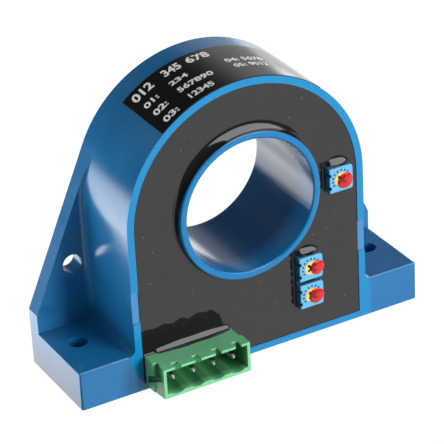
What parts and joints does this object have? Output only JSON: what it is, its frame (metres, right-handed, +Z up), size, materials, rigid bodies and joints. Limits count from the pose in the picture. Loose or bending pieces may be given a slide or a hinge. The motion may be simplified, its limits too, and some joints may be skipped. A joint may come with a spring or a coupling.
{
  "type": "current transformer",
  "caption": "Potted ring current sensor: arched blue case on two feet with rear flange, tube bore for a cable, resin front, pluggable header and slotted trimmers.",
  "frame": {"origin": "middle of the mounting plane under the two feet, centred on the case's depth", "axes": "+X along the feet, from the header's side to the trimmers' side; +Y along the bore towards the rear flange; +Z up"},
  "size_m": [0.0872, 0.0324, 0.0683],
  "materials": {
    "case_blue": "semi-gloss moulded thermoplastic",
    "label_black": "glossy printed film",
    "resin_black": "glossy cast epoxy",
    "core_steel": "wound strip steel",
    "chip_black": "moulded epoxy",
    "board_green": "solder-masked glass laminate",
    "header_green": "satin moulded polyamide",
    "contact_tin": "tin-plated",
    "trimmer_blue": "satin moulded plastic",
    "rotor_cream": "satin moulded plastic",
    "lacquer_red": "glossy lacquer",
    "can_dark": "shrunk film sleeve",
    "capacitor_red": "dipped epoxy"
  },
  "bodies": {
    "case": {"housing": "case_blue", "label": "label_black", "potting_resin": "resin_black", "magnetic_core": "core_steel", "hall_sensor": "chip_black", "circuit_board": "board_green", "header_housing": "header_green", "header_pin_1": "contact_tin", "header_pin_2": "contact_tin", "header_pin_3": "contact_tin", "header_pin_4": "contact_tin", "trimmer_body_1": "trimmer_blue", "trimmer_body_2": "trimmer_blue", "trimmer_body_3": "trimmer_blue", "trimmer_leads_1": "contact_tin", "trimmer_leads_2": "contact_tin", "trimmer_leads_3": "contact_tin", "amplifier_chip": "chip_black", "converter_chip": "chip_black", "voltage_regulator": "chip_black", "film_capacitor": "capacitor_red", "filter_capacitor_1": "can_dark", "filter_capacitor_2": "can_dark", "protection_diode": "chip_black", "resistor_1": "chip_black", "resistor_2": "chip_black", "resistor_3": "chip_black", "resistor_4": "chip_black"},
    "adjuster_1": {"trimmer_rotor_1": "rotor_cream", "seal_dab_1": "lacquer_red"},
    "adjuster_2": {"trimmer_rotor_2": "rotor_cream", "seal_dab_2": "lacquer_red"},
    "adjuster_3": {"trimmer_rotor_3": "rotor_cream", "seal_dab_3": "lacquer_red"}
  },
  "joints": [
    {"name": "trimmer_1_turn", "type": "hinge", "parent": "case", "child": "adjuster_1", "pos_m": [0.0229, -0.0143, 0.0384], "axis": [0, -1, 0], "range_deg": [-130, 130]},
    {"name": "trimmer_2_turn", "type": "hinge", "parent": "case", "child": "adjuster_2", "pos_m": [0.0144, -0.0143, 0.0184], "axis": [0, -1, 0], "range_deg": [-130, 130]},
    {"name": "trimmer_3_turn", "type": "hinge", "parent": "case", "child": "adjuster_3", "pos_m": [0.0144, -0.0143, 0.0114], "axis": [0, -1, 0], "range_deg": [-130, 130]}
  ]
}
